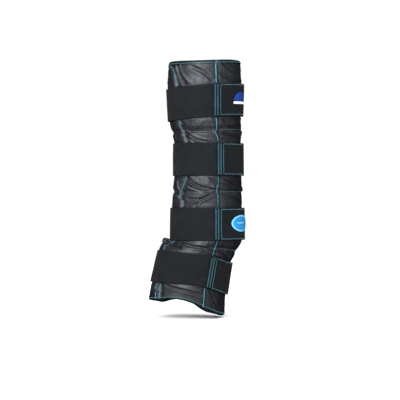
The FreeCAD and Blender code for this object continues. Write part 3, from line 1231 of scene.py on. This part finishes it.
@dataclass
class Trims:
    """Bindings, lining, back gussets, gel packs and the cover's stitching."""

    finishes: Finishes
    seamster: Seamster
    surface: Surface
    gusset_half: float = 12.0
    gusset_inset: float = 3.0
    cap_width: float = 26.0
    back_radius: float = 79.0
    gel_depth: float = 6.5

    def ends(self) -> tuple[tuple[str, float, int], ...]:
        """Returns the wrap's two ends: name, run and the way to its middle."""
        return ("top", 0.0, 1), ("hem", OUTSIDE.length, -1)

    def rims(self, half: Half) -> None:
        """Folds the hem cloth over the top edge and the hem of one half."""
        for name, end, sign in self.ends():
            def where(along: float, down: float) -> Vector:
                """Runs over the cover's edge, from 8 mm inside it to 7 mm down its face."""
                start, stop = half.angles(OUTSIDE.section(end), 0.3)
                angle = start + (stop - start) * along
                leg = 15 * down - 8
                if leg > 0:
                    return self.surface.point(end + sign * (leg + 0.4), angle, 0.25)
                return cloth_point(end - sign * 0.6, angle, leg - 1.6)
            Laid("%s_fold_%s" % (name, half.value), self.finishes, "hem", 0.6, 90, 9).wrap(
                where, 0.0, half.body, "%s_binding_%s" % (name, half.value))

    def edges(self, half: Half) -> None:
        """Folds binding tape over the opening edge of one half."""
        sign = 1 if half is Half.RIGHT else -1

        def where(along: float, down: float) -> Vector:
            """Runs over the opening edge, from 11 mm inside it to 3 mm across its face."""
            run = 6 + (OUTSIDE.length - 12) * down
            front = OUTSIDE.section(run).front
            leg = 14 * along - 11
            if leg > 0:
                return self.surface.point(run, front + sign * (0.5 + leg / 1.4), 0.2)
            return cloth_point(run, front + sign * 0.2, leg - 3.0)
        Laid("edge_tape_" + half.value, self.finishes, "tape", 0.5, 10, 130).wrap(
            where, 0.0, half.body, "edge_binding_" + half.value)

    def linings(self, half: Half) -> None:
        """Lays the soft lining of one half."""
        rows = [INSIDE.run_at(OUTSIDE.section(row).height) for row in Cover.rows()]

        def where(along: float, down: float) -> Vector:
            """Covers the half, a little raised along the row seams."""
            run = INSIDE.length * down
            start, stop = half.angles(INSIDE.section(run))
            seam = max(bump(run - row, 4.0) for row in rows)
            return lining_point(run, start + (stop - start) * along, 0.15 + 1.2 * seam)
        Laid("lining_cloth_" + half.value, self.finishes, "lining", 1.2, 48, 110).wrap(
            where, 0.4, half.body, "lining_" + half.value)

    def gussets(self) -> None:
        """Lays the cloth that crosses the back fold, outside and inside."""
        for name, shape, key, lay, out, radius in (
                ("back_gusset", OUTSIDE, "nylon", self.surface.point, 0.6, self.back_radius),
                ("lining_gusset", INSIDE, "lining", lining_point, -0.9, 52.0)):
            long = shape.length - 2 * self.gusset_inset

            def where(along: float, down: float) -> Vector:
                """Runs down the fold, as wide at the hem as at the top."""
                run = self.gusset_inset + long * down
                turn = math.degrees((2 * along - 1) * self.gusset_half / radius)
                return lay(run, shape.section(run).back + turn, out)
            piece = Laid(name, self.finishes, key, 0.6, 24, 120).wrap(where)
            self.fold(piece, Vector((-25, 78, 0)) * MM, self.gusset_half * 0.8)

    def fold_caps(self) -> None:
        """Closes the top edge and the hem across the back fold."""
        for name, end, sign in self.ends():
            def where(along: float, down: float) -> Vector:
                """Runs across the fold and in from the cover to the lining."""
                turn = math.degrees((along - 0.5) * self.cap_width / self.back_radius)
                angle = OUTSIDE.section(end).back + turn
                run = drawn_up(end, angle) + sign * 1.4
                return OUTSIDE.point(run, angle, 0.4).lerp(lining_beside(run, angle, 0.2), down)
            piece = Laid(name + "_fold_cap", self.finishes, "hem", 0.6, 24, 8).wrap(where)
            long = (where(0.5, 0) - where(0.5, 1)).length
            self.fold(piece, where(0.5, 0.0), self.cap_width * 0.42)

    @staticmethod
    def fold(piece: Mesh, middle: Vector, reach: float) -> None:
        """Bakes a piece's placement into its mesh; the cloth is not blended across the back fold.
        """
        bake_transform(piece)

    def packs(self, frame: dict) -> None:
        """Turns each gel pack's solid to a soft pillow inside its pocket."""
        for name, node in sorted(frame["nodes"].items()):
            if not name.startswith("gel_pack"):
                continue
            pillow = node.copy()
            pillow.data = node.data.copy()
            pillow.parent = None
            for key in list(pillow.keys()):
                del pillow[key]
            pillow.name = pillow.data.name = name.replace("gel_pack", "gel_pillow")
            bpy.context.scene.collection.objects.link(pillow)
            apply_modifier(pillow, "WELD", merge_threshold=0.01 * MM)
            apply_modifier(pillow, "REMESH", mode="VOXEL", voxel_size=4.5 * MM,
                           use_smooth_shade=True)
            apply_modifier(pillow, "SMOOTH", factor=0.8, iterations=9)
            for vertex in pillow.data.vertices:
                self.tuck_in(vertex)
            self.finishes.put(pillow, "gel")
            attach(pillow, "right_half" if "right" in name else "left_half")
            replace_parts(pillow, name)

    def tuck_in(self, vertex: bpy.types.MeshVertex) -> None:
        """Draws a point of a gel pillow up with the cloth, and in to clear the cover."""
        run, angle, radius = OUTSIDE.locate(vertex.co)
        if run > BANDS[2][1]:
            lift = run - max(drawn_up(run, angle), 0)
            here, there = OUTSIDE.section(run), OUTSIDE.section(run - lift)
            vertex.co += Vector((there.side - here.side, 0, there.height - here.height)) * MM
            run, angle, radius = OUTSIDE.locate(vertex.co)
        skin = OUTSIDE.locate(self.surface.lying(run, angle))[2]
        deep = radius - (skin - self.gel_depth)
        if deep > 0:
            vertex.co -= OUTSIDE.section(run).outward(angle) * deep * MM

    def seam(self, angle_at: Callable[[float], float], spans: Iterable[tuple[float, float]],
             pitch: float, out: float = 0.2) -> list[Stitch]:
        """Spaces stitches down the cover along a line of angles, over some spans of runs."""
        found = []
        for start, stop in spans:
            found += Seamster.line(lambda r, a: self.surface.point(r, a, out),
                                   lambda r: (r, angle_at(r)), start, stop, pitch)
        return found

    def stitching(self, covers: dict[Half, Cover]) -> None:
        """Sews the cover's columns, rows, hems, opening edges and back fold."""
        ends = [0.0, *[v for band in BANDS for v in band], OUTSIDE.length]
        spans = [(ends[i] + 2, ends[i + 1] - 1) for i in range(0, len(ends), 2)]
        short = spans[:-1] + [(spans[-1][0], spans[-1][1] - 2)]
        left, right = covers[Half.LEFT], covers[Half.RIGHT]
        for name, shift, where, thick, finish in (
                # the front seam in the darker thread copy, painted shade; its low line in the
                # bright thread
                ("front_quilt", -0.6, short, 1.5, "shaded_thread"),
                ("front_quilt_low", -7, short[-1:], 1.4, "thread")):
            line = self.seam(lambda r: left.front_quilt(r) + shift, where, 3.0)
            self.seamster.sew(name, line, 2.8, thick, "left_half", finish)
        back = [(4.0, OUTSIDE.length - 4)]
        for name, half, angle_at, where in (
                ("side_quilt_a", Half.RIGHT, lambda r: right.columns(r)[0] - 1.8, spans),
                ("side_quilt_b", Half.RIGHT, lambda r: right.columns(r)[0] + 1.8, spans),
                ("back_quilt_right_a", Half.RIGHT, lambda r: right.columns(r)[1] - 1.8, short),
                ("back_quilt_right_b", Half.RIGHT, lambda r: right.columns(r)[1] + 1.8, short),
                ("back_quilt_left_a", Half.LEFT, lambda r: left.columns(r)[1] - 1.8, spans),
                ("back_quilt_left_b", Half.LEFT, lambda r: left.columns(r)[1] + 1.8, spans),
                ("fold_stitches_right", Half.RIGHT, lambda r: OUTSIDE.section(r).back - 11.5, back),
                ("fold_stitches_left", Half.LEFT, lambda r: OUTSIDE.section(r).back + 11.5, back)):
            self.seamster.sew(name, self.seam(angle_at, where, 4.2), 3.2, 1.1, half.body,
                              "dull_thread")
        self.overlock(short)
        for half in covers:
            self.rows(half)

    def overlock(self, spans: Sequence[tuple[float, float]]) -> None:
        """Overlocks the opening's left edge: the bright thread at its two ends, a darker copy
        between them as painted shade where the edge sinks in.
        """
        def edge_angle(run: float) -> float:
            """Returns the edge's angle, with a kink at two of the row seams."""
            kink = 3.4 * bump(run - OUTSIDE.run_at(44), 6)
            kink += 1.8 * bump(run - OUTSIDE.run_at(-78), 8)
            return OUTSIDE.section(run).front - 1.5 - kink

        for name, where, length, finish in (
                ("edge_overlock_ends", [(1.0, spans[0][1]), spans[-1]], 3.4, "thread"),
                # the middle spans take the darker thread copy, painted shade in the valleys
                ("edge_overlock", spans[1:-1], 2.8, "shaded_thread")):
            line = Seamster.turned(self.seam(edge_angle, where, 1.7, 0.15), (68,))
            self.seamster.sew(name, line, length, 1.3, "left_half", finish)

    def rows(self, half: Half) -> None:
        """Sews the seams round the cover and along its top edge and hem."""
        quilts, hems = [], []
        hem = OUTSIDE.length - 1.0
        for run in [4.5, *Cover.rows(), hem]:
            start, stop = half.angles(OUTSIDE.section(run), 2.0)
            rim = run in (4.5, hem)
            if not rim and half is Half.LEFT:
                stop = -78
            inset = 4.5 if run == hem else 0.0
            (hems if rim else quilts).extend(Seamster.line(
                lambda r, a: self.surface.point(r, a, 0.6), lambda a: (run - inset, a),
                start, stop, 4.0))
        self.seamster.sew("row_stitches_" + half.value, quilts, 3.0, 1.0, half.body, "dull_thread")
        # the hem stitches in the darker thread copy, painted shade
        self.seamster.sew("hem_stitches_" + half.value, hems, 3.2, 1.2, half.body, "shaded_thread")


# ---------------------------------------------------------------- studio

@dataclass
class Studio:
    """A pale floor, soft light and a long lens level with the middle of the wrap. In metres."""

    view_height: float = 0.88
    distance: float = 3.2
    aim: tuple[float, float] = (-0.0143, -0.100)

    def build(self, low: Vector) -> None:
        """Sets the floor at the wrap's lowest point, the lights and the camera."""
        scene = bpy.context.scene
        floor = primitive("plane", size=30, location=(0, 0, low.z - 0.0005))
        floor.name = "studio_floor"
        # white paper, even and without gloss
        paper = Finish("studio_paper", "", "#ffffff", "#fefefe", 0.9, 0.0).build()
        floor.data.materials.append(paper)
        floor.visible_glossy = False
        floor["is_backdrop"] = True
        world = bpy.data.worlds.new("studio_world")
        world.use_nodes = True
        sky = world.node_tree.nodes["Background"]
        sky.inputs["Color"].default_value = (1, 1, 1, 1)
        sky.inputs["Strength"].default_value = 1.04
        world.cycles_visibility.glossy = False
        scene.world = world
        for name, place, size, power in (("key", (-0.8, -2.2, 0.9), 1.1, 80),
                                         ("fill", (1.5, -1.6, 0.4), 1.2, 7),
                                         ("back", (0.3, 2.0, 1.4), 1.6, 20)):
            lamp = bpy.data.lights.new(name, "AREA")
            set_up(lamp, energy=power, size=size, color=(0.94, 0.97, 1.0))
            light = bpy.data.objects.new(name, lamp)
            light.location = place
            light.rotation_euler = (Vector((0, 0, -0.08)) - Vector(place)).to_track_quat(
                "-Z", "Y").to_euler()
            scene.collection.objects.link(light)
        lens = bpy.data.cameras.new("camera")
        set_up(lens, sensor_width=36, lens=36 * self.distance / self.view_height)
        camera = bpy.data.objects.new("camera", lens)
        camera.location = (self.aim[0], -self.distance, self.aim[1])
        camera.rotation_euler = (90 * DEGREE, 0, 0)
        scene.collection.objects.link(camera)
        scene.camera = camera
        scene.view_settings.view_transform = "Standard"


def main() -> None:
    """Builds every piece in order."""
    logging.basicConfig(level=logging.INFO, format="%(message)s")
    noise.seed_set(5)  # vector noise starts from the clock otherwise
    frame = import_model()
    cad_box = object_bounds()
    Studio().build(Vector(cad_box[0]))
    finishes = Finishes()
    seamster = Seamster(finishes)
    covers = {half: Cover(half, finishes) for half in Half}
    surface = Surface([cover.build() for cover in covers.values()])
    for number, edge in enumerate((12.5, 14.5, 11.0, 24.0), start=1):
        Closure(number, edge, finishes, seamster).build()
    Badges(finishes).build()
    trims = Trims(finishes, seamster, surface)
    for half in Half:
        trims.rims(half)
        trims.edges(half)
        trims.linings(half)
    trims.gussets()
    trims.fold_caps()
    trims.packs(frame)
    trims.stitching(covers)


if __name__ == "__main__":
    main()
